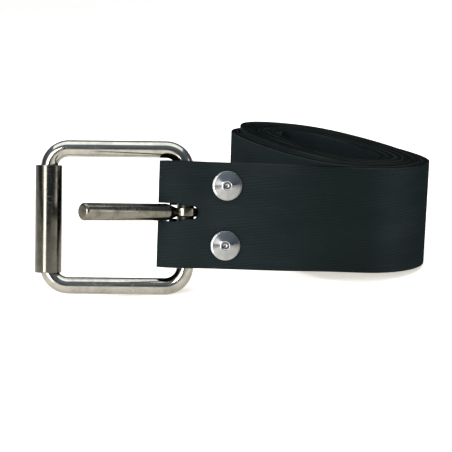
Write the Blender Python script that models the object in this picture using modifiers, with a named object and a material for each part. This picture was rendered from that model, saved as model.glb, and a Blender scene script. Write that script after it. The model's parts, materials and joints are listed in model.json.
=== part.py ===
"""Dive weight belt: a flat rubber belt rolled into an oval coil, with a wire roller buckle.

Metres, +Z up. The belt stands on its edge with the coil's axis near the vertical. Its free outer
end runs to the left along the front of the coil and folds round the buckle's right bar.

Belt coordinates (the rest_pose empty): origin at the middle of the coil, halfway up the strap,
+X along the front run away from the buckle, +Y away from the front, +Z across the strap's width.
"""
import math
from bisect import bisect_right

import bmesh
import bpy
from mathutils import Matrix, Vector

NAME = "dive_weight_belt"

# Strap
STRAP_WIDTH = 0.050
STRAP_THICK = 0.0036
LAYER_GAP = 0.0003                      # between two layers that lie on each other
TOUCH_GAP = 0.0003                      # between two pieces that touch
LAYER_PITCH = STRAP_THICK + LAYER_GAP

# Coil: an oval seen from above, with rounded ends, that grows a little looser than one layer each turn
COIL_TURNS = 5.77
COIL_HALF_LENGTH = 0.0373               # of the ellipse inside the innermost turn
COIL_HALF_WIDTH = 0.0073
COIL_END_ROUND = 0.0050                 # constant offset round that ellipse
COIL_YAW = math.radians(-62.3)          # the oval's long way, from +X
COIL_START = math.radians(-90)          # the outward normal where the front run leaves the coil
TURN_GROWTH = 0.00424                   # every turn outwards adds this all round,
LENGTH_GROWTH = 0.00042                 # this to the ellipse's half length
WIDTH_GROWTH = -0.00016                 # and this to its half width,
TURN_SHIFT = Vector((-0.00026, 0.00011, 0))     # and moves the oval by this
INNER_RISE_LEFT = 0.031                 # the inner turns rise this much per metre towards the left
INNER_RISE_BACK = 0.012                 # and this much per metre towards the back
OUTER_RISE = 0.6                        # the outer turns rise by this times the distance squared
OUTER_RISE_X = 0.015                    # left of here,
OUTER_RISE_FADES = math.radians(500)    # and less and less from this angle on
OUTER_RISE_ENDS = math.radians(650)
STATION_LENGTH = 0.006                  # of strap between two stations, on the flatter sides
STATION_ANGLE = math.radians(12)        # of bend between two stations, round the ends

# Free end, measured from the buckle's bar along +X
BAR_X = -0.069
BUCKLE_LEAN = math.radians(10.5)        # the free end's top leans back by this much
TWIST_START = 0.030
TWIST_END = 0.070
RIVET_X = 0.0192
RIVET_Z = 0.014
FLAP_END_X = 0.0285
LOOP_START_X = 0.014                    # the two layers part here and pass round the bar
FOLD_X = -0.0039                        # middle of the fold's half circle
FOLD_RADIUS = 0.0073                    # of the strap's middle surface

# Prong slot and tail
SLOT_RAISE = 0.001                      # above the strap's middle line
SLOT_END_X = 0.0068
SLOT_NARROW = 0.0064
SLOT_WIDE = 0.0085
SLOT_WIDE_DROP = 0.00015                # the wide part's middle is this much lower
SLOT_WIDE_X = -0.0020                   # it goes from here, in front, round the fold
SLOT_WIDE_PAST = 0.0080                 # and ends this far past the fold's outermost place
TAIL_CORNER = 0.005
TAIL_HOLES = 7
TAIL_HOLE_DIAMETER = 0.0085
TAIL_HOLE_PITCH = 0.030
TAIL_FIRST_HOLE = 0.045                 # from the tip

# Buckle: bent round bar, a loose roller and a prong on the right bar
WIRE = 0.008
FRAME_SPAN = 0.0644                     # between the middles of opposite bars, both ways
FRAME_CORNER = 0.0095                   # bend radius of the bar's middle line
FRAME_DROP = 0.0018                     # the frame hangs this much low in its loop
FRAME_DROOP = math.radians(1.2)         # and its left end sags by this angle
ROLLER_DIAMETER = 0.0127
ROLLER_BORE = 0.0106
ROLLER_LENGTH = 0.0505
ROLLER_DROP = 0.001
PRONG_LENGTH = 0.060                    # from the bar's axis to the tip
PRONG_CHAMFER = 0.0016
PRONG_OPEN = math.radians(42)           # towards the front, from the frame's plane
PRONG_NECK = 0.0042
PRONG_RING_INNER = 0.0043
PRONG_RING_OUTER = 0.0059
PRONG_SHOULDER = 0.0120                 # where the bar reaches its full thickness

# Rivets
CAP_DIAMETER = 0.0138
CAP_HEIGHT = 0.0026
DIMPLE_DIAMETER = 0.0034
DIMPLE_DEPTH = 0.0013
SHANK_DIAMETER = 0.005
RIVET_HOLE = SHANK_DIAMETER + 2 * TOUCH_GAP
SHANK_BORE = 0.003
FLANGE_DIAMETER = 0.0105
FLANGE_THICK = 0.0012
WASHER_DIAMETER = 0.0140
WASHER_THICK = 0.0010

# Rest: the belt stands on the frame's lower bar and two places on the coil's lower edge
REST_LEAN = math.radians(2.69)          # the top leans back
REST_ROLL = math.radians(4.64)          # the buckle's side is raised

RUBBER = ((0.020, 0.022, 0.025), 0.75, 0.0)
STEEL = ((0.62, 0.62, 0.60), 0.16, 1.0)
DULL_STEEL = ((0.34, 0.32, 0.29), 0.34, 1.0)


# ---------------------------------------------------------------- helpers

def clear_scene():
    for item in list(bpy.data.objects):
        bpy.data.objects.remove(item, do_unlink=True)


def collection_named(name):
    found = bpy.data.collections.get(name)
    if found is None:
        found = bpy.data.collections.new(name)
        bpy.context.scene.collection.children.link(found)
    return found


def add_object(name, data, parent=None):
    item = bpy.data.objects.new(name, data)
    collection_named(NAME).objects.link(item)
    item.parent = parent
    return item


def add_empty(name, parent=None, location=(0, 0, 0), rotation=(0, 0, 0)):
    item = add_object(name, None, parent)
    item.empty_display_size = 0.01
    item.location = location
    item.rotation_euler = rotation
    return item


def give_material(item, look):
    colour, roughness, metallic = look
    material = bpy.data.materials.new(item.name)
    material.use_nodes = True
    shader = material.node_tree.nodes["Principled BSDF"]
    shader.inputs["Base Color"].default_value = (*colour, 1.0)
    shader.inputs["Roughness"].default_value = roughness
    shader.inputs["Metallic"].default_value = metallic
    item.data.materials.clear()
    item.data.materials.append(material)


def baked_mesh(item):
    """The object's mesh with its modifiers applied."""
    evaluated = item.evaluated_get(bpy.context.evaluated_depsgraph_get())
    return bpy.data.meshes.new_from_object(evaluated)


def remove_objects(items):
    for item in items:
        bpy.data.objects.remove(item, do_unlink=True)


def shade_round(mesh, angle=math.radians(35)):
    mesh.shade_smooth()
    mesh.set_sharp_from_angle(angle=angle)


def cylinder(name, radius, depth, centre, sides=24):
    bm = bmesh.new()
    bmesh.ops.create_cone(bm, cap_ends=True, segments=sides, radius1=radius, radius2=radius, depth=depth)
    bmesh.ops.translate(bm, verts=bm.verts, vec=centre)
    mesh = bpy.data.meshes.new(name)
    bm.to_mesh(mesh)
    bm.free()
    return add_object(name, mesh)


def box(name, low, high):
    bm = bmesh.new()
    bmesh.ops.create_cube(bm, size=1.0)
    low, high = Vector(low), Vector(high)
    bmesh.ops.scale(bm, verts=bm.verts, vec=high - low)
    bmesh.ops.translate(bm, verts=bm.verts, vec=(low + high) / 2)
    mesh = bpy.data.meshes.new(name)
    bm.to_mesh(mesh)
    bm.free()
    return add_object(name, mesh)


def add_boolean(item, operation, cutter):
    modifier = item.modifiers.new(operation.title(), "BOOLEAN")
    modifier.operation = operation
    modifier.solver = "EXACT"
    modifier.object = cutter


def turned(name, profile, parent, closed=False, steps=32):
    """Turn a profile of (radius, height) points, given down its outer side, about local Z."""
    bm = bmesh.new()
    points = [bm.verts.new((radius, 0, height)) for radius, height in profile]
    for first, second in zip(points, points[1:]):
        bm.edges.new((first, second))
    if closed:
        bm.edges.new((points[-1], points[0]))
    mesh = bpy.data.meshes.new(name)
    bm.to_mesh(mesh)
    bm.free()
    item = add_object(name, mesh, parent)
    screw = item.modifiers.new("Screw", "SCREW")
    screw.steps = steps
    screw.render_steps = steps
    screw.use_merge_vertices = True
    screw.merge_threshold = 0.00001
    screw.use_normal_calculate = False
    screw.use_smooth_shade = True
    return item


# ---------------------------------------------------------------- strap path

def smoothstep(value):
    value = min(max(value, 0.0), 1.0)
    return value * value * (3 - 2 * value)


def coil_point(phi):
    """The strap's middle line where its outward normal points at the angle phi."""
    outward = Vector((math.cos(phi), math.sin(phi), 0))
    sideways = Vector((-math.sin(phi), math.cos(phi), 0))
    turns_left = COIL_TURNS - (phi - COIL_START) / math.tau
    half_length = COIL_HALF_LENGTH + LENGTH_GROWTH * turns_left
    half_width = COIL_HALF_WIDTH + WIDTH_GROWTH * turns_left
    along = math.cos(phi - COIL_YAW)
    across = math.sin(phi - COIL_YAW)
    ellipse = math.hypot(half_length * along, half_width * across)
    growth = TURN_GROWTH + TURN_SHIFT.dot(outward)
    growth += (half_length * LENGTH_GROWTH * along**2 + half_width * WIDTH_GROWTH * across**2) / ellipse
    reach = COIL_END_ROUND + ellipse + turns_left * (TURN_GROWTH + TURN_SHIFT.dot(outward))
    slope = (half_width**2 - half_length**2) * along * across / ellipse
    slope += turns_left * TURN_SHIFT.dot(sideways) - growth / math.tau
    return reach * outward + slope * sideways


def turn_angles():
    """Angles of one turn's stations, close together round the ends. Each turn uses the same ones."""
    fine = 720
    angles = []
    passed = 0.0
    middle_turn = COIL_START + math.tau * (COIL_TURNS // 2)
    last = coil_point(middle_turn)
    for step in range(fine):
        if passed >= len(angles):
            angles.append(math.tau * step / fine)
        here = coil_point(middle_turn + math.tau * (step + 1) / fine)
        passed += (here - last).length / STATION_LENGTH / 2 + math.tau / fine / STATION_ANGLE / 2
        last = here
    return angles


def front_y():
    return coil_point(COIL_START).y


def coil_stations():
    """Stations from the front run into the coil, as (point, normal, width direction)."""
    right_end = coil_point(0).x
    front = front_y()
    end = COIL_START + math.tau * COIL_TURNS
    angles = [COIL_START + math.tau * turn + angle
              for turn in range(math.ceil(COIL_TURNS)) for angle in turn_angles()]
    stations = []
    for phi in [angle for angle in angles if angle < end - 0.05] + [end]:
        point = coil_point(phi)
        inner = smoothstep((phi - COIL_START - math.tau) / math.radians(90))
        point.z = inner * (INNER_RISE_LEFT * (right_end - point.x) + INNER_RISE_BACK * (point.y - front))
        outer = 1 - smoothstep((phi - OUTER_RISE_FADES) / (OUTER_RISE_ENDS - OUTER_RISE_FADES))
        point.z += outer * OUTER_RISE * max(0.0, OUTER_RISE_X - point.x)**2
        normal = Vector((math.cos(phi), math.sin(phi), 0))
        stations.append((point, normal, Vector((0, 0, 1))))
    return stations


def front_run_stations():
    """Stations from the rivets to the coil, where the strap untwists until it is upright."""
    steps = 8
    stations = []
    for step in range(steps + 1):
        away = TWIST_START + (TWIST_END - TWIST_START) * step / steps
        lean = BUCKLE_LEAN * (1 - smoothstep(step / steps))
        point = Vector((BAR_X + away, front_y(), 0))
        normal = Vector((0, -math.cos(lean), math.sin(lean)))
        stations.append((point, normal, Vector((0, math.sin(lean), math.cos(lean)))))
    return stations


def loop_outline():
    """The loop round the bar, as (x, y) from the bar's axis, from the flap's end to the rivets."""
    half_gap = LAYER_PITCH / 2
    steps = 7
    back = [(FLAP_END_X, half_gap)]
    for step in range(steps):
        part = step / steps
        x = LOOP_START_X + (FOLD_X - LOOP_START_X) * part
        back.append((x, half_gap + (FOLD_RADIUS - half_gap) * smoothstep(part)))
    turn_steps = 16
    fold = []
    for step in range(turn_steps + 1):
        angle = math.pi * (0.5 + step / turn_steps)
        fold.append((FOLD_X + FOLD_RADIUS * math.cos(angle), FOLD_RADIUS * math.sin(angle)))
    front = [(x, -y) for x, y in reversed(back[1:])]
    return back + fold + front


def loop_stations(section):
    """The loop's stations, from local points in the leaning buckle section."""
    outline = [Vector((x, y, 0)) for x, y in loop_outline()]
    turn = section.to_3x3()
    stations = []
    for index, point in enumerate(outline):
        before = outline[max(index - 1, 0)]
        after = outline[min(index + 1, len(outline) - 1)]
        along = (point - before).normalized() + (after - point).normalized()
        if index in (0, len(outline) - 1):
            along = Vector((-1 if index == 0 else 1, 0, 0))
        normal = Vector((along.y, -along.x, 0)).normalized()
        stations.append((section @ point, turn @ normal, turn @ Vector((0, 0, 1))))
    return stations


def section_matrix():
    """Where the buckle section is in belt coordinates: its origin is on the bar's axis."""
    half_gap = LAYER_PITCH / 2
    origin = Vector((BAR_X, front_y() + half_gap * math.cos(BUCKLE_LEAN), -half_gap * math.sin(BUCKLE_LEAN)))
    return Matrix.Translation(origin) @ Matrix.Rotation(-BUCKLE_LEAN, 4, "X")


def strap_path():
    """All stations, and the length of strap from the flap's end to each."""
    stations = loop_stations(section_matrix()) + front_run_stations() + coil_stations()
    lengths = [0.0]
    for before, after in zip(stations, stations[1:]):
        lengths.append(lengths[-1] + (after[0] - before[0]).length)
    return stations, lengths


# ---------------------------------------------------------------- strap

def length_at_x(lengths, x, layer):
    """Length of strap from the flap's end to the place x of the back or the front layer."""
    outline = loop_outline()
    folds = (len(outline) - 1) // 2
    total = lengths[len(outline) - 1]
    if layer == "front":
        return total - length_at_x(lengths, x, "back") + (FLAP_END_X - LOOP_START_X)
    for index in range(folds):
        x0, x1 = outline[index][0], outline[index + 1][0]
        if x0 >= x >= x1:
            part = (x0 - x) / (x0 - x1)
            return lengths[index] + part * (lengths[index + 1] - lengths[index])
    raise ValueError("x is beyond the fold")


def strap_cutters(lengths):
    """What is punched through the flat strap: rivet holes, the prong's slot and the tail's holes."""
    through = 3 * STRAP_THICK
    cutters = []

    def hole(name, along, across, diameter):
        cutters.append(cylinder(name, diameter / 2, through, (along, across, 0)))

    def window(name, start, end, middle, width):
        low = (start, middle - width / 2, -through / 2)
        high = (end, middle + width / 2, through / 2)
        cutters.append(box(name, low, high))

    for layer in ("back", "front"):
        for side in (-1, 1):
            hole("rivet_hole", length_at_x(lengths, RIVET_X, layer), side * RIVET_Z, RIVET_HOLE)
        round_middle = length_at_x(lengths, SLOT_END_X - SLOT_NARROW / 2, layer)
        hole("slot_end", round_middle, SLOT_RAISE, SLOT_NARROW)
    start = length_at_x(lengths, SLOT_END_X - SLOT_NARROW / 2, "back")
    end = length_at_x(lengths, SLOT_END_X - SLOT_NARROW / 2, "front")
    window("slot_narrow", start, end, SLOT_RAISE, SLOT_NARROW)
    start = lengths[len(loop_outline()) // 2] - SLOT_WIDE_PAST
    end = length_at_x(lengths, SLOT_WIDE_X, "front")
    window("slot_wide", start, end, SLOT_RAISE - SLOT_WIDE_DROP, SLOT_WIDE)
    for number in range(TAIL_HOLES):
        from_tip = TAIL_FIRST_HOLE + number * TAIL_HOLE_PITCH
        hole("tail_hole", lengths[-1] - from_tip, 0.0, TAIL_HOLE_DIAMETER)
    return cutters


def round_tail(mesh):
    """Round the two corners of the flat strap's tail."""
    bm = bmesh.new()
    bm.from_mesh(mesh)
    tip = max(vertex.co.x for vertex in bm.verts)
    corners = []
    for edge in bm.edges:
        first, second = (vertex.co for vertex in edge.verts)
        if min(first.x, second.x) > tip - TAIL_CORNER and abs(first.z - second.z) > STRAP_THICK / 2:
            corners.append(edge)
    bmesh.ops.bevel(bm, geom=corners, offset=TAIL_CORNER, segments=8, profile=0.5, affect="EDGES")
    bm.to_mesh(mesh)
    bm.free()


def flat_strap(lengths):
    """The strap laid out flat, X along, Y across and Z through it, with all its holes."""
    half = STRAP_WIDTH / 2
    flat = box("flat_strap", (0, -half, -STRAP_THICK / 2), (lengths[-1], half, STRAP_THICK / 2))
    round_tail(flat.data)
    cutters = strap_cutters(lengths)
    for cutter in cutters:
        add_boolean(flat, "DIFFERENCE", cutter)
    bpy.context.view_layer.update()
    mesh = baked_mesh(flat)
    remove_objects([flat] + cutters)
    return mesh


def roll_up(mesh, stations, lengths):
    """Bend the flat strap along its path: it is cut at every station, then each part is placed."""
    bm = bmesh.new()
    bm.from_mesh(mesh)
    for length in lengths[1:-1]:
        parts = bm.verts[:] + bm.edges[:] + bm.faces[:]
        bmesh.ops.bisect_plane(bm, geom=parts, dist=1e-7, plane_co=(length, 0, 0), plane_no=(1, 0, 0))
    bmesh.ops.dissolve_degenerate(bm, dist=1e-6, edges=bm.edges)
    bmesh.ops.triangulate(bm, faces=bm.faces)
    for vertex in bm.verts:
        along, across, through = vertex.co
        index = min(max(bisect_right(lengths, along) - 1, 0), len(lengths) - 2)
        part = (along - lengths[index]) / (lengths[index + 1] - lengths[index])
        point, normal, width = (first.lerp(second, part)
                                for first, second in zip(stations[index], stations[index + 1]))
        vertex.co = point + across * width + through * normal
    bm.to_mesh(mesh)
    bm.free()


def make_strap(rest_pose):
    stations, lengths = strap_path()
    mesh = flat_strap(lengths)
    roll_up(mesh, stations, lengths)
    mesh.name = "strap"
    shade_round(mesh)
    strap = add_object("strap", mesh, rest_pose)
    give_material(strap, RUBBER)


# ---------------------------------------------------------------- rivets

def make_rivet(section, label, height):
    """A domed cap in front, a tubular post through both layers and a washer behind."""
    face = LAYER_PITCH / 2 + STRAP_THICK / 2
    facing_front = (math.radians(90), 0, 0)

    cap_rim = CAP_DIAMETER / 2
    cap_edge = 0.0007
    dimple = DIMPLE_DIAMETER / 2
    cap_profile = [
        (0, CAP_HEIGHT - DIMPLE_DEPTH),
        (dimple * 0.55, CAP_HEIGHT - DIMPLE_DEPTH * 0.85),
        (dimple * 0.9, CAP_HEIGHT - DIMPLE_DEPTH * 0.25),
        (dimple * 1.15, CAP_HEIGHT),
        (dimple * 1.6, CAP_HEIGHT - 0.0001),
        (cap_rim * 0.85, cap_edge * 1.6),
        (cap_rim, cap_edge),
        (cap_rim, cap_edge * 0.4),
        (cap_rim - cap_edge * 0.4, 0),
        (0, 0),
    ]
    cap = turned("rivet_cap_" + label, cap_profile, section)
    cap.location = (RIVET_X, -face - TOUCH_GAP, height)
    cap.rotation_euler = facing_front
    give_material(cap, STEEL)

    shank = SHANK_DIAMETER / 2
    flange = FLANGE_DIAMETER / 2
    chamfer = 0.0003
    front_end = 2 * face
    flange_top = -(2 * TOUCH_GAP + WASHER_THICK)
    flange_back = flange_top - FLANGE_THICK
    post_profile = [
        (0, front_end),
        (shank - chamfer, front_end),
        (shank, front_end - chamfer),
        (shank, flange_top),
        (flange - chamfer, flange_top),
        (flange, flange_top - chamfer),
        (flange, flange_back + chamfer),
        (flange - chamfer, flange_back),
        (SHANK_BORE / 2, flange_back),
        (SHANK_BORE / 2, flange_back + 0.004),
        (0, flange_back + 0.004),
    ]
    post = turned("rivet_post_" + label, post_profile, section, steps=24)
    post.location = (RIVET_X, face, height)
    post.rotation_euler = facing_front
    give_material(post, STEEL)

    bore = shank + TOUCH_GAP
    washer_profile = [
        (WASHER_DIAMETER / 2 - chamfer, 0),
        (WASHER_DIAMETER / 2, -chamfer),
        (WASHER_DIAMETER / 2, -WASHER_THICK + chamfer),
        (WASHER_DIAMETER / 2 - chamfer, -WASHER_THICK),
        (bore, -WASHER_THICK),
        (bore, 0),
    ]
    washer = turned("back_washer_" + label, washer_profile, section, closed=True, steps=32)
    washer.location = (RIVET_X, face + TOUCH_GAP, height)
    washer.rotation_euler = facing_front
    give_material(washer, STEEL)


# ---------------------------------------------------------------- buckle

def make_frame(bar_axis):
    """A square of bent round bar. Its right bar is on the local Z axis."""
    half = FRAME_SPAN / 2
    inner = half - FRAME_CORNER
    corners = ((-half, inner, inner, 0), (-half, -inner, inner, 90),
               (-half, -inner, -inner, 180), (-half, inner, -inner, 270))
    steps = 6
    points = []
    for offset, x, z, start in corners:
        for step in range(steps + 1):
            angle = math.radians(start + 90 * step / steps)
            points.append((offset + x + FRAME_CORNER * math.cos(angle), 0, z + FRAME_CORNER * math.sin(angle)))
    curve = bpy.data.curves.new("buckle_frame", "CURVE")
    curve.dimensions = "3D"
    curve.bevel_depth = WIRE / 2
    curve.bevel_resolution = 4
    spline = curve.splines.new("POLY")
    spline.points.add(len(points) - 1)
    for target, point in zip(spline.points, points):
        target.co = (*point, 1)
    spline.use_cyclic_u = True
    spline.use_smooth = True
    frame = add_object("buckle_frame", curve, bar_axis)
    give_material(frame, STEEL)


def make_roller(bar_axis):
    """A tube of rolled sheet, loose on the left bar."""
    outer = ROLLER_DIAMETER / 2
    bore = ROLLER_BORE / 2
    half = ROLLER_LENGTH / 2
    chamfer = 0.0003
    profile = [
        (bore, half),
        (outer - chamfer, half),
        (outer, half - chamfer),
        (outer, -half + chamfer),
        (outer - chamfer, -half),
        (bore, -half),
    ]
    roller = turned("roller", profile, bar_axis, closed=True, steps=32)
    roller.location = (-FRAME_SPAN, 0, -ROLLER_DROP)
    give_material(roller, STEEL)


def make_prong(bar_axis):
    """A round bar with a flat tip, necked down where it is bent round the right bar."""
    full = WIRE / 2
    neck = PRONG_NECK / 2
    bar_profile = [
        (0, PRONG_LENGTH),
        (full - PRONG_CHAMFER, PRONG_LENGTH),
        (full, PRONG_LENGTH - PRONG_CHAMFER),
        (full, PRONG_SHOULDER),
        (full * 0.86, PRONG_SHOULDER - 0.0022),
        (neck, PRONG_RING_OUTER),
        (neck, PRONG_RING_INNER + 0.001),
        (0, PRONG_RING_INNER + 0.001),
    ]
    bar = turned("prong_bar", bar_profile, None, steps=24)
    bar.rotation_euler = (0, math.radians(-90), 0)
    edge = 0.0006
    ring_profile = [
        (PRONG_RING_INNER, neck),
        (PRONG_RING_OUTER - edge, neck),
        (PRONG_RING_OUTER, neck - edge),
        (PRONG_RING_OUTER, -neck + edge),
        (PRONG_RING_OUTER - edge, -neck),
        (PRONG_RING_INNER, -neck),
    ]
    ring = turned("prong_ring", ring_profile, None, closed=True, steps=32)
    add_boolean(ring, "UNION", bar)
    bpy.context.view_layer.update()
    mesh = baked_mesh(ring)
    mesh.name = "prong"
    remove_objects([ring, bar])
    shade_round(mesh)
    prong = add_object("prong", mesh, bar_axis)
    prong.location = (0, 0, FRAME_DROP + SLOT_RAISE)
    prong.rotation_euler = (0, 0, PRONG_OPEN)
    give_material(prong, DULL_STEEL)


# ---------------------------------------------------------------- assembly

def stand_on_floor(rest_pose):
    """Move the belt so that its lowest point is at z = 0 and its box is centred on the origin."""
    bpy.context.view_layer.update()
    graph = bpy.context.evaluated_depsgraph_get()
    corners = []
    for item in collection_named(NAME).objects:
        if item.type == "EMPTY":
            continue
        evaluated = item.evaluated_get(graph)
        mesh = evaluated.to_mesh()
        corners += [evaluated.matrix_world @ vertex.co for vertex in mesh.vertices]
        evaluated.to_mesh_clear()
    low = Vector([min(corner[axis] for corner in corners) for axis in range(3)])
    high = Vector([max(corner[axis] for corner in corners) for axis in range(3)])
    rest_pose.location = (-(low.x + high.x) / 2, -(low.y + high.y) / 2, -low.z)
    bpy.context.view_layer.update()


def build():
    clear_scene()
    rest_pose = add_empty("rest_pose", rotation=(-REST_LEAN, REST_ROLL, 0))
    make_strap(rest_pose)
    section = add_empty("buckle_section", rest_pose)
    section.matrix_local = section_matrix()
    for label, side in (("upper", 1), ("lower", -1)):
        make_rivet(section, label, side * RIVET_Z)
    bar_axis = add_empty("bar_axis", section, (0, 0, -FRAME_DROP), (0, -FRAME_DROOP, 0))
    make_frame(bar_axis)
    make_roller(bar_axis)
    make_prong(bar_axis)
    stand_on_floor(rest_pose)


build()
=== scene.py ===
"""Looks of the dive weight belt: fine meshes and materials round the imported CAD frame.

Metres, +Z up, in the CAD's own frame. Belt coordinates are the coil's: origin at the middle of the
coil, +X along the front run away from the buckle, +Y away from the front, +Z across the strap.
"""

import json
import math
from bisect import bisect_right

import bmesh
import bpy
from mathutils import Euler, Matrix, Vector


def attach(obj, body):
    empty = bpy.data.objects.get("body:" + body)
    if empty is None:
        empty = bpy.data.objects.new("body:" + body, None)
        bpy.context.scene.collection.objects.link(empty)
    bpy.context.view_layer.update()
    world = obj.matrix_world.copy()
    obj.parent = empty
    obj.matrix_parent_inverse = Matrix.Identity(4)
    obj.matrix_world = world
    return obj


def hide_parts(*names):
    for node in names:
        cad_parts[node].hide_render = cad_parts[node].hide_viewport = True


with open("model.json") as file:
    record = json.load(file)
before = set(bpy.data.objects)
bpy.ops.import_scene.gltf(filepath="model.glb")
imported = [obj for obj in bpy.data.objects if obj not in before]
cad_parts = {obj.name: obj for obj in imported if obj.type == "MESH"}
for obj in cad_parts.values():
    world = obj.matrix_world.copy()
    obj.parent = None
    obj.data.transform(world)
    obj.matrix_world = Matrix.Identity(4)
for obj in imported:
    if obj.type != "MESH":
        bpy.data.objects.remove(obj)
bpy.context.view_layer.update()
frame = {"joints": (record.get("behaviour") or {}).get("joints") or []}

# Strap, as in the CAD
STRAP_WIDTH = 0.050
STRAP_THICK = 0.0036
LAYER_GAP = 0.0003
TOUCH_GAP = 0.0003
LAYER_PITCH = STRAP_THICK + LAYER_GAP
EDGE_ROUND = 0.00035

# Coil, as in the CAD, with closer stations
COIL_TURNS = 5.77
COIL_HALF_LENGTH = 0.0373
COIL_HALF_WIDTH = 0.0073
COIL_END_ROUND = 0.0050
COIL_YAW = math.radians(-62.3)
COIL_START = math.radians(-90)
TURN_GROWTH = 0.00424
LENGTH_GROWTH = 0.00042
WIDTH_GROWTH = -0.00016
TURN_SHIFT = Vector((-0.00026, 0.00011, 0))
INNER_RISE_LEFT = 0.031                 # the inner turns rise this much per metre towards the left
INNER_RISE_BACK = 0.012                 # and this much per metre towards the back
OUTER_RISE = 0.6                        # the outer turns rise by this times the distance squared
OUTER_RISE_X = 0.015                    # left of here,
OUTER_RISE_FADES = math.radians(500)    # and less and less from this angle on
OUTER_RISE_ENDS = math.radians(650)
STATION_LENGTH = 0.004
STATION_ANGLE = math.radians(5)

# Free end
BAR_X = -0.069
BUCKLE_LEAN = math.radians(10.5)
TWIST_START = 0.030
TWIST_END = 0.070
RIVET_X = 0.0192
RIVET_Z = 0.014
FLAP_END_X = 0.0285
LOOP_START_X = 0.014
FOLD_X = -0.0039
FOLD_RADIUS = 0.0073

# Slot and tail
SLOT_RAISE = 0.001                      # above the strap's middle line
SLOT_END_X = 0.0068
SLOT_NARROW = 0.0064
SLOT_WIDE = 0.0085
SLOT_WIDE_DROP = 0.00015                # the wide part's middle is this much lower
SLOT_WIDE_X = -0.0020                   # it goes from here, in front, round the fold
SLOT_WIDE_PAST = 0.0080                 # and ends this far past the fold's outermost place
TAIL_CORNER = 0.005
TAIL_HOLES = 7
TAIL_HOLE_DIAMETER = 0.0085
TAIL_HOLE_PITCH = 0.030
TAIL_FIRST_HOLE = 0.045

# Buckle
WIRE = 0.008
FRAME_SPAN = 0.0644
FRAME_CORNER = 0.0095
FRAME_DROP = 0.0018
FRAME_DROOP = math.radians(1.2)
ROLLER_DIAMETER = 0.0127
ROLLER_BORE = 0.0106
ROLLER_LENGTH = 0.0505
ROLLER_DROP = 0.001
SEAM_WIDTH = 0.00035
PRONG_LENGTH = 0.060
TIP_CHAMFER = 0.0009                    # finer than the CAD's
PRONG_OPEN = math.radians(42)
PRONG_NECK = 0.0042
PRONG_RING_INNER = 0.0043
PRONG_RING_OUTER = 0.0059
PRONG_SHOULDER = 0.0120

# Rivets
CAP_DIAMETER = 0.0138
CAP_HEIGHT = 0.0026
DIMPLE_DIAMETER = 0.0034
DIMPLE_DEPTH = 0.0013
SHANK_DIAMETER = 0.005
RIVET_HOLE = SHANK_DIAMETER + 2 * TOUCH_GAP
SHANK_BORE = 0.003
FLANGE_DIAMETER = 0.0105
FLANGE_THICK = 0.0012
WASHER_DIAMETER = 0.0140
WASHER_THICK = 0.0010

# Rest
REST_LEAN = math.radians(2.69)
REST_ROLL = math.radians(4.64)

# Camera, in belt coordinates
VIEW_TARGET = Vector((-0.0498, -0.0472, -0.0083))
VIEW_DISTANCE = 0.680
VIEW_RISE = math.radians(11.34)
VIEW_ROLL = math.radians(1.83)
LENS = 112.3


# ---------------------------------------------------------------- strap path

def smoothstep(value):
    value = min(max(value, 0.0), 1.0)
    return value * value * (3 - 2 * value)


def coil_point(phi):
    """The strap's middle line where its outward normal points at the angle phi."""
    outward = Vector((math.cos(phi), math.sin(phi), 0))
    sideways = Vector((-math.sin(phi), math.cos(phi), 0))
    turns_left = COIL_TURNS - (phi - COIL_START) / math.tau
    half_length = COIL_HALF_LENGTH + LENGTH_GROWTH * turns_left
    half_width = COIL_HALF_WIDTH + WIDTH_GROWTH * turns_left
    along = math.cos(phi - COIL_YAW)
    across = math.sin(phi - COIL_YAW)
    ellipse = math.hypot(half_length * along, half_width * across)
    growth = TURN_GROWTH + TURN_SHIFT.dot(outward)
    growth += (half_length * LENGTH_GROWTH * along**2 + half_width * WIDTH_GROWTH * across**2) / ellipse
    reach = COIL_END_ROUND + ellipse + turns_left * (TURN_GROWTH + TURN_SHIFT.dot(outward))
    slope = (half_width**2 - half_length**2) * along * across / ellipse
    slope += turns_left * TURN_SHIFT.dot(sideways) - growth / math.tau
    return reach * outward + slope * sideways


def turn_angles():
    """Angles of one turn's stations, close together round the ends."""
    fine = 2160
    angles = []
    passed = 0.0
    middle_turn = COIL_START + math.tau * (COIL_TURNS // 2)
    last = coil_point(middle_turn)
    for step in range(fine):
        if passed >= len(angles):
            angles.append(math.tau * step / fine)
        here = coil_point(middle_turn + math.tau * (step + 1) / fine)
        passed += (here - last).length / STATION_LENGTH / 2 + math.tau / fine / STATION_ANGLE / 2
        last = here
    return angles


FRONT_Y = coil_point(COIL_START).y


def coil_stations():
    """Stations from the front run into the coil, as (point, normal, width direction)."""
    right_end = coil_point(0).x
    end = COIL_START + math.tau * COIL_TURNS
    one_turn = turn_angles()
    angles = [COIL_START + math.tau * turn + angle
              for turn in range(math.ceil(COIL_TURNS)) for angle in one_turn]
    stations = []
    for phi in [angle for angle in angles if angle < end - 0.02] + [end]:
        point = coil_point(phi)
        inner = smoothstep((phi - COIL_START - math.tau) / math.radians(90))
        point.z = inner * (INNER_RISE_LEFT * (right_end - point.x) + INNER_RISE_BACK * (point.y - FRONT_Y))
        outer = 1 - smoothstep((phi - OUTER_RISE_FADES) / (OUTER_RISE_ENDS - OUTER_RISE_FADES))
        point.z += outer * OUTER_RISE * max(0.0, OUTER_RISE_X - point.x)**2
        stations.append((point, Vector((math.cos(phi), math.sin(phi), 0)), Vector((0, 0, 1))))
    return stations


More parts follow.
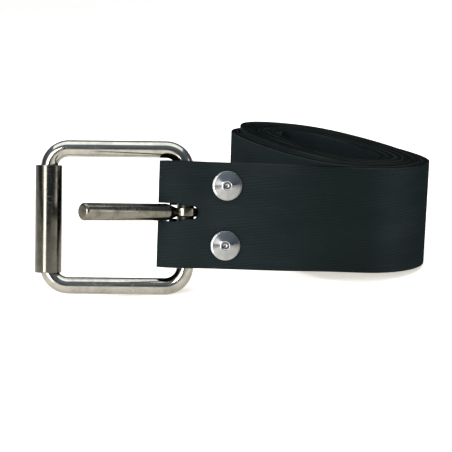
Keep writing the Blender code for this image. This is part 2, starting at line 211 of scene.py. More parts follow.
def front_run_stations():
    """Stations from the rivets to the coil, where the strap untwists until it is upright."""
    steps = 24
    stations = []
    for step in range(steps + 1):
        away = TWIST_START + (TWIST_END - TWIST_START) * step / steps
        lean = BUCKLE_LEAN * (1 - smoothstep(step / steps))
        point = Vector((BAR_X + away, FRONT_Y, 0))
        normal = Vector((0, -math.cos(lean), math.sin(lean)))
        stations.append((point, normal, Vector((0, math.sin(lean), math.cos(lean)))))
    return stations


def loop_outline():
    """The loop round the bar, as (x, y) from the bar's axis, from the flap's end to the rivets."""
    half_gap = LAYER_PITCH / 2
    steps = 16
    back = [(FLAP_END_X, half_gap)]
    for step in range(steps):
        part = step / steps
        x = LOOP_START_X + (FOLD_X - LOOP_START_X) * part
        back.append((x, half_gap + (FOLD_RADIUS - half_gap) * smoothstep(part)))
    turn_steps = 36
    fold = []
    for step in range(turn_steps + 1):
        angle = math.pi * (0.5 + step / turn_steps)
        fold.append((FOLD_X + FOLD_RADIUS * math.cos(angle), FOLD_RADIUS * math.sin(angle)))
    front = [(x, -y) for x, y in reversed(back[1:])]
    return back + fold + front


def loop_stations(section):
    """The loop's stations, from local points in the leaning buckle section."""
    outline = [Vector((x, y, 0)) for x, y in loop_outline()]
    turn = section.to_3x3()
    stations = []
    for index, point in enumerate(outline):
        before = outline[max(index - 1, 0)]
        after = outline[min(index + 1, len(outline) - 1)]
        along = (point - before).normalized() + (after - point).normalized()
        if index in (0, len(outline) - 1):
            along = Vector((-1 if index == 0 else 1, 0, 0))
        normal = Vector((along.y, -along.x, 0)).normalized()
        stations.append((section @ point, turn @ normal, turn @ Vector((0, 0, 1))))
    return stations


def section_matrix():
    """Where the buckle section is in belt coordinates: its origin is on the bar's axis."""
    half_gap = LAYER_PITCH / 2
    origin = Vector((BAR_X, FRONT_Y + half_gap * math.cos(BUCKLE_LEAN), -half_gap * math.sin(BUCKLE_LEAN)))
    return Matrix.Translation(origin) @ Matrix.Rotation(-BUCKLE_LEAN, 4, "X")


def strap_path():
    """All stations, and the length of strap from the flap's end to each."""
    stations = loop_stations(section_matrix()) + front_run_stations() + coil_stations()
    lengths = [0.0]
    for before, after in zip(stations, stations[1:]):
        lengths.append(lengths[-1] + (after[0] - before[0]).length)
    return stations, lengths


# ---------------------------------------------------------------- placing

def joint_place(name):
    for joint in frame["joints"]:
        if joint["name"] == name:
            return Vector(joint["pos_m"])
    raise KeyError(name)


BAR_IN_SECTION = Matrix.Translation((0, 0, -FRAME_DROP)) @ Matrix.Rotation(-FRAME_DROOP, 4, "Y")
BAR_IN_BELT = section_matrix() @ BAR_IN_SECTION
REST_TURN = Euler((-REST_LEAN, REST_ROLL, 0)).to_matrix()
REST_PLACE = joint_place("buckle_swing") - REST_TURN @ BAR_IN_BELT.translation
BELT = Matrix.Translation(REST_PLACE) @ REST_TURN.to_4x4()
SECTION = BELT @ section_matrix()
BAR = BELT @ BAR_IN_BELT


# ---------------------------------------------------------------- mesh helpers

TURNED_STEPS = 96


def add_object(name, data, place=None):
    item = bpy.data.objects.new(name, data)
    bpy.context.scene.collection.objects.link(item)
    if place is not None:
        item.matrix_world = place
    return item


def baked_mesh(item):
    """The object's mesh with its modifiers applied."""
    bpy.context.view_layer.update()
    evaluated = item.evaluated_get(bpy.context.evaluated_depsgraph_get())
    return bpy.data.meshes.new_from_object(evaluated)


def remove_objects(items):
    for item in items:
        bpy.data.objects.remove(item, do_unlink=True)


def shade_round(mesh, angle=math.radians(35)):
    mesh.shade_smooth()
    mesh.set_sharp_from_angle(angle=angle)


def cylinder(name, radius, depth, centre):
    bm = bmesh.new()
    bmesh.ops.create_cone(bm, cap_ends=True, segments=64, radius1=radius, radius2=radius, depth=depth)
    bmesh.ops.translate(bm, verts=bm.verts, vec=centre)
    mesh = bpy.data.meshes.new(name)
    bm.to_mesh(mesh)
    bm.free()
    return add_object(name, mesh)


def box(name, low, high):
    bm = bmesh.new()
    bmesh.ops.create_cube(bm, size=1.0)
    low, high = Vector(low), Vector(high)
    bmesh.ops.scale(bm, verts=bm.verts, vec=high - low)
    bmesh.ops.translate(bm, verts=bm.verts, vec=(low + high) / 2)
    mesh = bpy.data.meshes.new(name)
    bm.to_mesh(mesh)
    bm.free()
    return add_object(name, mesh)


def add_boolean(item, operation, cutter):
    modifier = item.modifiers.new(operation.title(), "BOOLEAN")
    modifier.operation = operation
    modifier.solver = "EXACT"
    modifier.object = cutter


def add_bevel(item, width):
    bevel = item.modifiers.new("Bevel", "BEVEL")
    bevel.width = width
    bevel.segments = 3
    bevel.limit_method = "ANGLE"
    bevel.angle_limit = math.radians(40)
    bevel.use_clamp_overlap = True


def turned(name, profile, closed=False):
    """Turn a profile of (radius, height) points, given down its outer side, about local Z."""
    bm = bmesh.new()
    points = [bm.verts.new((radius, 0, height)) for radius, height in profile]
    for first, second in zip(points, points[1:]):
        bm.edges.new((first, second))
    if closed:
        bm.edges.new((points[-1], points[0]))
    mesh = bpy.data.meshes.new(name)
    bm.to_mesh(mesh)
    bm.free()
    item = add_object(name, mesh)
    screw = item.modifiers.new("Screw", "SCREW")
    screw.steps = TURNED_STEPS
    screw.render_steps = TURNED_STEPS
    screw.use_merge_vertices = True
    screw.merge_threshold = 0.00001
    screw.use_normal_calculate = False
    screw.use_smooth_shade = True
    made = baked_mesh(item)
    made.name = name
    remove_objects([item])
    return made


def rounded(profile, radius):
    """The profile with each inner corner replaced by an arc-like curve of about this radius."""
    steps = 4
    result = [profile[0]]
    for before, corner, after in zip(profile, profile[1:], profile[2:]):
        corner_point = Vector(corner)
        back = Vector(before) - corner_point
        ahead = Vector(after) - corner_point
        cut = min(radius, back.length * 0.45, ahead.length * 0.45)
        start = corner_point + back.normalized() * cut
        end = corner_point + ahead.normalized() * cut
        for step in range(steps + 1):
            part = step / steps
            curve = start * (1 - part)**2 + corner_point * 2 * part * (1 - part) + end * part**2
            result.append((curve.x, curve.y))
    result.append(profile[-1])
    return result


# ---------------------------------------------------------------- strap mesh

def length_at_x(lengths, x, layer):
    """Length of strap from the flap's end to the place x of the back or the front layer."""
    outline = loop_outline()
    if layer == "front":
        total = lengths[len(outline) - 1]
        return total - length_at_x(lengths, x, "back") + (FLAP_END_X - LOOP_START_X)
    for index in range((len(outline) - 1) // 2):
        x0, x1 = outline[index][0], outline[index + 1][0]
        if x0 >= x >= x1:
            part = (x0 - x) / (x0 - x1)
            return lengths[index] + part * (lengths[index + 1] - lengths[index])
    raise ValueError("x is beyond the fold")


def strap_cutters(lengths):
    """What is punched through the flat strap: rivet holes, the prong's slot and the tail's holes."""
    through = 3 * STRAP_THICK
    cutters = []

    def hole(along, across, diameter):
        cutters.append(cylinder("hole", diameter / 2, through, (along, across, 0)))

    def window(start, end, middle, width):
        low = (start, middle - width / 2, -through / 2)
        high = (end, middle + width / 2, through / 2)
        cutters.append(box("window", low, high))

    for layer in ("back", "front"):
        for side in (-1, 1):
            hole(length_at_x(lengths, RIVET_X, layer), side * RIVET_Z, RIVET_HOLE)
        hole(length_at_x(lengths, SLOT_END_X - SLOT_NARROW / 2, layer), SLOT_RAISE, SLOT_NARROW)
    start = length_at_x(lengths, SLOT_END_X - SLOT_NARROW / 2, "back")
    end = length_at_x(lengths, SLOT_END_X - SLOT_NARROW / 2, "front")
    window(start, end, SLOT_RAISE, SLOT_NARROW)
    start = lengths[len(loop_outline()) // 2] - SLOT_WIDE_PAST
    end = length_at_x(lengths, SLOT_WIDE_X, "front")
    window(start, end, SLOT_RAISE - SLOT_WIDE_DROP, SLOT_WIDE)
    for number in range(TAIL_HOLES):
        from_tip = TAIL_FIRST_HOLE + number * TAIL_HOLE_PITCH
        hole(lengths[-1] - from_tip, 0.0, TAIL_HOLE_DIAMETER)
    return cutters


def round_tail(mesh):
    """Round the two corners of the flat strap's tail."""
    bm = bmesh.new()
    bm.from_mesh(mesh)
    tip = max(vertex.co.x for vertex in bm.verts)
    corners = []
    for edge in bm.edges:
        first, second = (vertex.co for vertex in edge.verts)
        if min(first.x, second.x) > tip - TAIL_CORNER and abs(first.z - second.z) > STRAP_THICK / 2:
            corners.append(edge)
    bmesh.ops.bevel(bm, geom=corners, offset=TAIL_CORNER, segments=16, profile=0.5, affect="EDGES")
    bm.to_mesh(mesh)
    bm.free()


def flat_strap(lengths):
    """The strap laid out flat, X along, Y across and Z through it, with its holes and soft edges."""
    half = STRAP_WIDTH / 2
    flat = box("flat_strap", (0, -half, -STRAP_THICK / 2), (lengths[-1], half, STRAP_THICK / 2))
    round_tail(flat.data)
    cutters = strap_cutters(lengths)
    for cutter in cutters:
        add_boolean(flat, "DIFFERENCE", cutter)
    add_bevel(flat, EDGE_ROUND)
    mesh = baked_mesh(flat)
    remove_objects([flat] + cutters)
    return mesh


def cut_at(bm, lengths):
    """Cut the flat strap across at every length, the middle one first and then each half."""
    work = [(lengths, bm.faces[:])]
    while work:
        places, faces = work.pop()
        middle = len(places) // 2
        place = places[middle]
        edges = {edge for face in faces for edge in face.edges}
        verts = {vert for face in faces for vert in face.verts}
        made = bmesh.ops.bisect_plane(bm, geom=list(verts) + list(edges) + list(faces), dist=1e-7,
                                      plane_co=(place, 0, 0), plane_no=(1, 0, 0))
        pieces = [item for item in made["geom"] if isinstance(item, bmesh.types.BMFace)]
        left = [face for face in pieces if face.calc_center_median().x < place]
        right = [face for face in pieces if face.calc_center_median().x >= place]
        if places[:middle] and left:
            work.append((places[:middle], left))
        if places[middle + 1:] and right:
            work.append((places[middle + 1:], right))


def roll_up(mesh, stations, lengths):
    """Bend the flat strap along its path, and keep each point's flat place for the materials."""
    bm = bmesh.new()
    bm.from_mesh(mesh)
    cut_at(bm, lengths[1:-1])
    bmesh.ops.dissolve_degenerate(bm, dist=1e-6, edges=bm.edges)
    flat_place = bm.verts.layers.float_vector.new("flat_place")
    for vertex in bm.verts:
        along, across, through = vertex.co
        vertex[flat_place] = vertex.co
        index = min(max(bisect_right(lengths, along) - 1, 0), len(lengths) - 2)
        part = (along - lengths[index]) / (lengths[index + 1] - lengths[index])
        point, normal, width = (first.lerp(second, part)
                                for first, second in zip(stations[index], stations[index + 1]))
        vertex.co = point + across * width.normalized() + through * normal.normalized()
    bm.to_mesh(mesh)
    bm.free()


def make_strap(material):
    stations, lengths = strap_path()
    mesh = flat_strap(lengths)
    roll_up(mesh, stations, lengths)
    mesh.name = "rubber_strap"
    shade_round(mesh)
    strap = add_object("rubber_strap", mesh, BELT)
    finish_piece(strap, material, "belt", "strap_rubber", "strap")


def finish_piece(item, material, body, slot, *nodes):
    item.data.materials.clear()
    item.data.materials.append(material)
    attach(item, body)
    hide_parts(*nodes)


# ---------------------------------------------------------------- rivets

def cap_mesh():
    rim = CAP_DIAMETER / 2
    dimple = DIMPLE_DIAMETER / 2
    top = CAP_HEIGHT
    profile = [
        (0, top - DIMPLE_DEPTH),
        (dimple * 0.55, top - DIMPLE_DEPTH * 0.92),
        (dimple * 0.95, top - DIMPLE_DEPTH * 0.30),
        (dimple * 1.25, top),
        (rim * 0.50, top - 0.00055),
        (rim * 0.84, 0.00105),
        (rim * 0.90, 0.00085),
        (rim, 0.00080),
        (rim + 0.00002, 0.00030),
        (rim - 0.0003, 0),
        (0, 0),
    ]
    return turned("rivet_cap", rounded(profile, 0.0005))


def post_mesh():
    face = LAYER_PITCH / 2 + STRAP_THICK / 2
    shank = SHANK_DIAMETER / 2
    flange = FLANGE_DIAMETER / 2
    flange_top = -(2 * TOUCH_GAP + WASHER_THICK)
    flange_back = flange_top - FLANGE_THICK
    profile = [
        (0, 2 * face),
        (shank, 2 * face),
        (shank, flange_top),
        (flange, flange_top),
        (flange * 0.98, flange_back + 0.0002),
        (shank, flange_back),
        (SHANK_BORE / 2 + 0.0004, flange_back + 0.0001),
        (SHANK_BORE / 2, flange_back + 0.0008),
        (SHANK_BORE / 2, flange_back + 0.004),
        (0, flange_back + 0.004),
    ]
    return turned("rivet_post", rounded(profile, 0.00025))


def washer_mesh():
    outer = WASHER_DIAMETER / 2
    bore = SHANK_DIAMETER / 2 + TOUCH_GAP
    middle = -WASHER_THICK / 2
    profile = [
        (outer, middle),
        (outer, -WASHER_THICK),
        (bore, -WASHER_THICK),
        (bore, 0),
        (outer, 0),
        (outer, middle),
    ]
    return turned("back_washer", rounded(profile, 0.0002)[:-1], closed=True)


def make_rivets(material):
    face = LAYER_PITCH / 2 + STRAP_THICK / 2
    facing_front = Matrix.Rotation(math.radians(90), 4, "X")
    for label, side in (("upper", 1), ("lower", -1)):
        for name, mesh, depth in (
            ("rivet_cap", cap_mesh(), -face - TOUCH_GAP),
            ("rivet_post", post_mesh(), face),
            ("back_washer", washer_mesh(), face + TOUCH_GAP),
        ):
            node = name + "_" + label
            place = SECTION @ Matrix.Translation((RIVET_X, depth, side * RIVET_Z)) @ facing_front
            shade_round(mesh, math.radians(50))
            item = add_object("fine_" + node, mesh, place)
            finish_piece(item, material, "belt", "polished_steel", node)


# ---------------------------------------------------------------- buckle

def make_frame(material):
    """A square of bent round bar with its right bar on the hinge axis."""
    half = FRAME_SPAN / 2
    inner = half - FRAME_CORNER
    corners = ((-half, inner, inner, 0), (-half, -inner, inner, 90),
               (-half, -inner, -inner, 180), (-half, inner, -inner, 270))
    steps = 16
    points = []
    for offset, x, z, start in corners:
        for step in range(steps + 1):
            angle = math.radians(start + 90 * step / steps)
            across = FRAME_CORNER * math.cos(angle)
            up = FRAME_CORNER * math.sin(angle)
            points.append((offset + x + across, 0, z + up))
    curve = bpy.data.curves.new("bent_bar", "CURVE")
    curve.dimensions = "3D"
    curve.bevel_depth = WIRE / 2
    curve.bevel_resolution = 14
    spline = curve.splines.new("POLY")
    spline.points.add(len(points) - 1)
    for target, point in zip(spline.points, points):
        target.co = (*point, 1)
    spline.use_cyclic_u = True
    spline.use_smooth = True
    guide = add_object("bent_bar", curve)
    mesh = baked_mesh(guide)
    remove_objects([guide])
    shade_round(mesh, math.radians(60))
    item = add_object("fine_frame", mesh, BAR)
    finish_piece(item, material, "frame", "polished_steel", "buckle_frame")


def make_roller(material):
    """A tube of rolled sheet, with its open seam at the back."""
    outer = ROLLER_DIAMETER / 2
    bore = ROLLER_BORE / 2
    half = ROLLER_LENGTH / 2
    profile = [(outer, 0), (outer, -half), (bore, -half), (bore, half), (outer, half), (outer, 0)]
    mesh = turned("rolled_tube", rounded(profile, 0.0003)[:-1], closed=True)
    tube = add_object("rolled_tube", mesh)
    seam = box("seam", (0, -SEAM_WIDTH / 2, -half * 1.2), (outer * 1.5, SEAM_WIDTH / 2, half * 1.2))
    seam.rotation_euler = (0, 0, math.radians(105))
    add_boolean(tube, "DIFFERENCE", seam)
    made = baked_mesh(tube)
    remove_objects([tube, seam])
    shade_round(made, math.radians(40))
    place = BAR @ Matrix.Translation((-FRAME_SPAN, 0, -ROLLER_DROP))
    item = add_object("fine_roller", made, place)
    finish_piece(item, material, "roller_tube", "polished_steel", "roller")


def make_prong(material):
    """A round bar with a flat tip, necked down where it is bent round the right bar."""
    full = WIRE / 2
    neck = PRONG_NECK / 2
    bar_profile = [
        (0, PRONG_LENGTH),
        (full - TIP_CHAMFER, PRONG_LENGTH),
        (full, PRONG_LENGTH - TIP_CHAMFER),
        (full, PRONG_SHOULDER),
        (full * 0.86, PRONG_SHOULDER - 0.0022),
        (neck, PRONG_RING_OUTER),
        (neck, PRONG_RING_INNER + 0.001),
        (0, PRONG_RING_INNER + 0.001),
    ]
    bar = add_object("prong_bar", turned("prong_bar", rounded(bar_profile, 0.0004)))
    bar.rotation_euler = (0, math.radians(-90), 0)
    middle = (PRONG_RING_INNER + PRONG_RING_OUTER) / 2
    ring_profile = [
        (middle, neck),
        (PRONG_RING_OUTER, neck),
        (PRONG_RING_OUTER, -neck),
        (PRONG_RING_INNER, -neck),
        (PRONG_RING_INNER, neck),
        (middle, neck),
    ]
    ring = add_object("prong_ring", turned("prong_ring", rounded(ring_profile, 0.0007)[:-1], closed=True))
    add_boolean(ring, "UNION", bar)
    made = baked_mesh(ring)
    remove_objects([ring, bar])
    shade_round(made, math.radians(40))
    place = BAR @ Matrix.Translation((0, 0, FRAME_DROP + SLOT_RAISE)) @ Matrix.Rotation(PRONG_OPEN, 4, "Z")
    item = add_object("fine_prong", made, place)
    finish_piece(item, material, "tongue", "worn_steel", "prong")


# ---------------------------------------------------------------- material helpers

class Nodes:
    """Short calls for building one material's node tree."""

    def __init__(self, name):
        self.material = bpy.data.materials.new(name)
        self.material.use_nodes = True
        self.tree = self.material.node_tree
        self.shader = self.tree.nodes["Principled BSDF"]

    def add(self, kind, **settings):
        node = self.tree.nodes.new(kind)
        for key, value in settings.items():
            setattr(node, key, value)
        return node

    def link(self, source, target):
        self.tree.links.new(source, target)

    def value(self, source, target):
        """Link a socket, or set a plain number or colour."""
        if isinstance(source, bpy.types.NodeSocket):
            self.link(source, target)
        else:
            target.default_value = source

    def math(self, operation, first, second=0.0, third=0.0):
        node = self.add("ShaderNodeMath", operation=operation)
        self.value(first, node.inputs[0])
        self.value(second, node.inputs[1])
        self.value(third, node.inputs[2])
        return node.outputs[0]

    def range(self, source, low, high, to_low=0.0, to_high=1.0, smooth=True):
        node = self.add("ShaderNodeMapRange")
        node.interpolation_type = "SMOOTHSTEP" if smooth else "LINEAR"
        self.value(source, node.inputs["Value"])
        node.inputs["From Min"].default_value = low
        node.inputs["From Max"].default_value = high
        node.inputs["To Min"].default_value = to_low
        node.inputs["To Max"].default_value = to_high
        return node.outputs["Result"]

    def noise(self, coordinate, scale, detail=3.0):
        node = self.add("ShaderNodeTexNoise")
        self.link(coordinate, node.inputs["Vector"])
        node.inputs["Scale"].default_value = scale
        node.inputs["Detail"].default_value = detail
        node.inputs["Roughness"].default_value = 0.55
        return node.outputs["Fac"]

    def stretched(self, coordinate, scale):
        node = self.add("ShaderNodeMapping")
        self.link(coordinate, node.inputs["Vector"])
        node.inputs["Scale"].default_value = scale
        return node.outputs["Vector"]

    def mix(self, fac, first, second):
        node = self.add("ShaderNodeMix", data_type="RGBA")
        self.value(fac, node.inputs["Factor"])
        self.value(first if isinstance(first, bpy.types.NodeSocket) else (*first, 1), node.inputs["A"])
        self.value(second if isinstance(second, bpy.types.NodeSocket) else (*second, 1), node.inputs["B"])
        return node.outputs["Result"]

    def bump(self, height, distance, strength=1.0, below=None):
        node = self.add("ShaderNodeBump")
        self.link(height, node.inputs["Height"])
        node.inputs["Distance"].default_value = distance
        node.inputs["Strength"].default_value = strength
        if below is not None:
            self.link(below, node.inputs["Normal"])
        return node.outputs["Normal"]


# ---------------------------------------------------------------- materials

RIB_PITCH = 0.00143
RIB_SLANT = -0.12
HATCH_SLANT = 0.80
CROSS_SLANT = -1.1

# Lengths of strap from the flap's end
# painted shade: these four lengths place a darker stretch of the front run before the coil, standing in
# for the light falling off
PAINTED_SHADE_STARTS = 0.085
PAINTED_SHADE_FULL = 0.135
PAINTED_SHADE_FADES = 0.145
PAINTED_SHADE_ENDS = 0.160
ROLL_STARTS = 0.18
ROLL_FULL = 0.23


def rib_waves(nodes, place, along, across):
    """The cloth's imprint: lengthwise ribs, and a slanted hatch that is strongest in the rolled part."""
    wobble = nodes.noise(nodes.stretched(place, (14, 60, 60)), 1.0, detail=2.0)
    hatch_strength = nodes.range(along, ROLL_STARTS, ROLL_FULL, 0.4, 1.6)
    waves = []
    for slant, strength in ((RIB_SLANT, 1.0), (HATCH_SLANT, hatch_strength), (CROSS_SLANT, 0.35)):
        slanted = nodes.math("MULTIPLY_ADD", along, slant, across)
        bent = nodes.math("MULTIPLY_ADD", wobble, RIB_PITCH * 0.9, slanted)
        wave = nodes.math("SINE", nodes.math("MULTIPLY", bent, math.tau / RIB_PITCH))
        waves.append(nodes.math("MULTIPLY", wave, strength))
    ribs = nodes.math("ADD", nodes.math("ADD", waves[0], waves[1]), waves[2])
    worn = nodes.noise(nodes.stretched(place, (70, 160, 160)), 1.0, detail=3.0)
    return nodes.math("MULTIPLY", ribs, nodes.range(worn, 0.38, 0.62, 0.15, 1.0))


def face_tone(nodes, place, along, ribs, patches):
    """Colour of the strap's faces: patches, streaks, ribs, and a painted shade on the stretch before the
    coil.
    """
    streaks = nodes.noise(nodes.stretched(place, (40, 900, 900)), 1.0, detail=3.0)
    tone = nodes.mix(nodes.range(patches, 0.35, 0.7), (0.0066, 0.0098, 0.0106), (0.0094, 0.0136, 0.0144))
    tone = nodes.mix(nodes.range(streaks, 0.55, 0.85, 0.0, 0.45), tone, (0.019, 0.023, 0.023))
    tone = nodes.mix(nodes.range(ribs, -1.3, 1.3, 0.0, 0.50), tone, (0.0172, 0.0220, 0.0234))
    # painted shade in the base colour: the front run goes darker towards the coil
    comes = nodes.range(along, PAINTED_SHADE_STARTS, PAINTED_SHADE_FULL, 0.0, 0.62)
    goes = nodes.range(along, PAINTED_SHADE_ENDS, PAINTED_SHADE_FADES)
    return nodes.mix(nodes.math("MULTIPLY", comes, goes), tone, (0.004, 0.006, 0.0055))


def edge_tone(nodes, through, grain, patches):
    """Colour of the cut edges: darker and grainy, with paler rims."""
    half = STRAP_THICK / 2
    rim = nodes.range(nodes.math("ABSOLUTE", through), half - 0.0007, half - 0.0002)
    rim = nodes.math("MULTIPLY", rim, nodes.range(patches, 0.35, 0.65))
    tone = nodes.mix(nodes.range(grain, 0.4, 0.65), (0.0026, 0.0034, 0.0036), (0.0085, 0.0100, 0.0094))
    return nodes.mix(rim, tone, (0.022, 0.025, 0.022))


def rubber_material():
    """Matte black rubber with the imprint of the cloth that it was pressed in."""
    nodes = Nodes("strap_rubber")
    place = nodes.add("ShaderNodeAttribute", attribute_name="flat_place").outputs["Vector"]
    split = nodes.add("ShaderNodeSeparateXYZ")
    nodes.link(place, split.inputs[0])
    along, across, through = split.outputs

    ribs = rib_waves(nodes, place, along, across)
    grain = nodes.noise(place, 2600, detail=4.0)
    patches = nodes.noise(nodes.stretched(place, (22, 60, 60)), 1.0, detail=4.0)
    half = STRAP_WIDTH / 2
    cut_edge = nodes.range(nodes.math("ABSOLUTE", across), half - 0.0005, half - 0.0001)

    tone = nodes.mix(cut_edge, face_tone(nodes, place, along, ribs, patches),
                     edge_tone(nodes, through, grain, patches))
    nodes.link(tone, nodes.shader.inputs["Base Color"])
    nodes.link(nodes.range(patches, 0.3, 0.7, 0.82, 0.95), nodes.shader.inputs["Roughness"])
    nodes.shader.inputs["Specular IOR Level"].default_value = 0.0

    face_only = nodes.math("SUBTRACT", 1.0, cut_edge)
    rib_height = nodes.math("MULTIPLY", nodes.range(ribs, -1.6, 1.6, 0.0, 1.0, smooth=False), face_only)
    normal = nodes.bump(rib_height, 0.00012, 0.8)
    normal = nodes.bump(grain, 0.00005, 0.7, normal)
    nodes.link(normal, nodes.shader.inputs["Normal"])
    return nodes.material


def steel_material(name, colour, dark, rough, scratch=0.0, pits=0.0, loop_shade=0.0, turned_finish=False):
    """Bright steel with a little haze and, where asked, scratches, pits, a painted shade where the strap's
    loop covers the bar, or a lathe's finish.
    """
    nodes = Nodes(name)
    place = nodes.add("ShaderNodeTexCoord").outputs["Object"]
    split = nodes.add("ShaderNodeSeparateXYZ")
    nodes.link(place, split.inputs[0])
    haze = nodes.noise(place, 160, detail=5.0)
    tone = nodes.mix(nodes.range(haze, 0.35, 0.7), colour, dark)
    roughness = nodes.range(haze, 0.3, 0.75, rough * 0.75, rough * 1.4)
    nodes.shader.inputs["Metallic"].default_value = 1.0
    normal = None

    if scratch:
        lines = nodes.noise(nodes.stretched(place, (90, 900, 900)), 1.0, detail=3.0)
        cross = nodes.noise(nodes.stretched(place, (900, 900, 70)), 1.0, detail=3.0)
        scuffs = nodes.range(nodes.math("MULTIPLY", lines, cross), 0.28, 0.42)
        roughness = nodes.math("MULTIPLY_ADD", scuffs, scratch, roughness)
        normal = nodes.bump(scuffs, 0.00001, scratch)
    if pits:
        cells = nodes.add("ShaderNodeTexVoronoi")
        nodes.link(place, cells.inputs["Vector"])
        cells.inputs["Scale"].default_value = 1100
        spot = nodes.range(cells.outputs["Distance"], 0.10, 0.30, 1.0, 0.0)
        chosen = nodes.range(nodes.noise(place, 420, detail=2.0), 0.50, 0.62)
        low_bar = nodes.range(split.outputs["Z"], -FRAME_SPAN * 0.40, -FRAME_SPAN * 0.5, 0.10, 1.0)
        share = nodes.math("MULTIPLY", low_bar, pits)
        pit = nodes.math("MULTIPLY", nodes.math("MULTIPLY", spot, chosen), share)
        tone = nodes.mix(pit, tone, (0.12, 0.10, 0.07))
        roughness = nodes.math("MULTIPLY_ADD", pit, 0.35, roughness)
        normal = nodes.bump(nodes.math("SUBTRACT", 1.0, pit), 0.00004, 0.6, normal)
    if loop_shade:
        # painted shade: the right bar goes nearly black where the strap's loop wraps round it
        near_bar = nodes.range(split.outputs["X"], -0.0062, -0.0048)
        in_loop = nodes.range(nodes.math("ABSOLUTE", split.outputs["Z"]), 0.0235, 0.0215)
        shade_in_loop = nodes.math("MULTIPLY", nodes.math("MULTIPLY", near_bar, in_loop), loop_shade)
        tone = nodes.mix(shade_in_loop, tone, (0.030, 0.028, 0.024))
        roughness = nodes.math("MULTIPLY_ADD", shade_in_loop, 0.25, roughness)
    if turned_finish:
        rings = nodes.add("ShaderNodeTexWave", wave_type="RINGS", rings_direction="Z")
        nodes.link(place, rings.inputs["Vector"])
        rings.inputs["Scale"].default_value = 1500
        rings.inputs["Distortion"].default_value = 1.5
        roughness = nodes.math("MULTIPLY_ADD", rings.outputs["Fac"], 0.05, roughness)
        tangent = nodes.add("ShaderNodeTangent", direction_type="RADIAL", axis="Z")
        nodes.link(tangent.outputs["Tangent"], nodes.shader.inputs["Tangent"])
        nodes.shader.inputs["Anisotropic"].default_value = 0.75
    nodes.link(tone, nodes.shader.inputs["Base Color"])
    nodes.link(roughness, nodes.shader.inputs["Roughness"])
    if normal is not None:
        nodes.link(normal, nodes.shader.inputs["Normal"])
    return nodes.material


# ---------------------------------------------------------------- stage

def stage_material():
    """A pale, slightly warm floor that glows a little, as backlit studio acrylic does."""
    nodes = Nodes("pale_floor")
    place = nodes.add("ShaderNodeTexCoord").outputs["Object"]
    soft = nodes.noise(place, 3, detail=2.0)
    tone = nodes.mix(soft, (0.88, 0.84, 0.78), (0.90, 0.87, 0.81))
    nodes.link(tone, nodes.shader.inputs["Base Color"])
    nodes.link(tone, nodes.shader.inputs["Emission Color"])
    nodes.shader.inputs["Emission Strength"].default_value = 0.65
    nodes.shader.inputs["Roughness"].default_value = 0.9
    return nodes.material


def make_stage():
    """A round pale floor whose rim curves up into a low wall, open above it."""
    radius, rim, bend = 2.6, 0.42, 0.35
    profile = [(radius, rim)]
    steps = 10
    for step in range(steps + 1):
        angle = math.radians(90 * step / steps)
        profile.append((radius - bend + bend * math.cos(angle), bend - bend * math.sin(angle)))
    profile.append((0, 0))
    sweep = add_object("sweep", turned("sweep", profile))
    sweep.data.materials.append(stage_material())


def area_light(name, place, target, size, power):
    light = bpy.data.lights.new(name, "AREA")
    light.shape = "RECTANGLE"
    light.size, light.size_y = size
    light.energy = power
    item = add_object(name, light)
    item.location = place
    item.rotation_euler = (Vector(target) - Vector(place)).to_track_quat("-Z", "Y").to_euler()
    return item


def make_lights():
    centre = (0.0, 0.0, 0.03)
    area_light("top_softbox", (0.0, 0.05, 1.0), centre, (1.6, 0.9), 12)
    area_light("left_strip", (-0.56, -1.1, 0.4), centre, (0.42, 0.9), 16)
    area_light("near_softbox", (-0.30, -0.36, 0.26), (0.0, -0.04, 0.03), (0.20, 0.20), 0.3)
    area_light("right_softbox", (1.1, -0.35, 0.35), centre, (0.3, 0.6), 1.2)


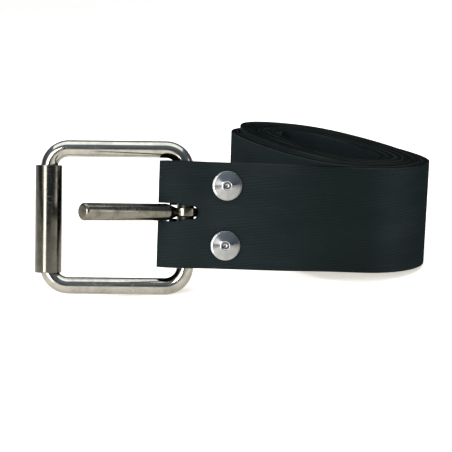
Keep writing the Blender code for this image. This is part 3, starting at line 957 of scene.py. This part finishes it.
def make_world():
    """Dim bluish studio walls, darkest near the horizon."""
    world = bpy.data.worlds.new("studio")
    world.use_nodes = True
    tree = world.node_tree
    direction = tree.nodes.new("ShaderNodeTexCoord").outputs["Generated"]
    split = tree.nodes.new("ShaderNodeSeparateXYZ")
    tree.links.new(direction, split.inputs[0])
    ramp = tree.nodes.new("ShaderNodeValToRGB")
    low, high = ramp.color_ramp.elements
    low.position = 0.12
    low.color = (0.025, 0.042, 0.080, 1)
    high.position = 0.80
    high.color = (0.32, 0.40, 0.48, 1)
    tree.links.new(split.outputs["Z"], ramp.inputs["Fac"])
    tree.links.new(ramp.outputs["Color"], tree.nodes["Background"].inputs["Color"])
    bpy.context.scene.world = world
    bpy.context.scene.view_settings.view_transform = "Standard"
    bpy.context.scene.view_settings.look = "None"


def make_camera():
    """The camera is set in belt coordinates: it looks a little down on the coil, and is rolled."""
    back = Vector((0, -math.cos(VIEW_RISE), math.sin(VIEW_RISE)))
    lift = Vector((0, math.sin(VIEW_RISE), math.cos(VIEW_RISE)))
    side = Vector((1, 0, 0))
    right = side * math.cos(VIEW_ROLL) + lift * math.sin(VIEW_ROLL)
    up = lift * math.cos(VIEW_ROLL) - side * math.sin(VIEW_ROLL)
    turn = Matrix((right, up, back)).transposed().to_4x4()
    camera = bpy.data.cameras.new("camera")
    camera.lens = LENS
    camera.sensor_width = 36
    camera.clip_start = 0.01
    camera.clip_end = 20
    place = BELT @ Matrix.Translation(VIEW_TARGET + back * VIEW_DISTANCE) @ turn
    item = add_object("camera", camera, place)
    bpy.context.scene.camera = item


# ---------------------------------------------------------------- assembly

frame_steel = steel_material("frame_steel", (0.33, 0.315, 0.275), (0.25, 0.24, 0.21), 0.12,
                             scratch=0.08, pits=1.4, loop_shade=1.0)
# painted shade: the roller's steel is a much darker copy of the frame's polished steel, standing in for
# dark reflections
shaded_roller_steel = steel_material("shaded_roller_steel", (0.110, 0.104, 0.086), (0.072, 0.068, 0.057), 0.17,
                              scratch=0.12)
# worn steel, and partly a painted shade: darker than the frame's steel to stand in for dark reflections
worn_shaded_prong_steel = steel_material("worn_shaded_prong_steel", (0.170, 0.158, 0.128), (0.090, 0.083, 0.066), 0.17,
                             scratch=0.15)
rivet_steel = steel_material("rivet_steel", (0.30, 0.30, 0.295), (0.23, 0.23, 0.23), 0.15,
                             turned_finish=True)
make_strap(rubber_material())
make_rivets(rivet_steel)
make_frame(frame_steel)
make_roller(shaded_roller_steel)
make_prong(worn_shaded_prong_steel)
make_stage()
make_lights()
make_world()
make_camera()
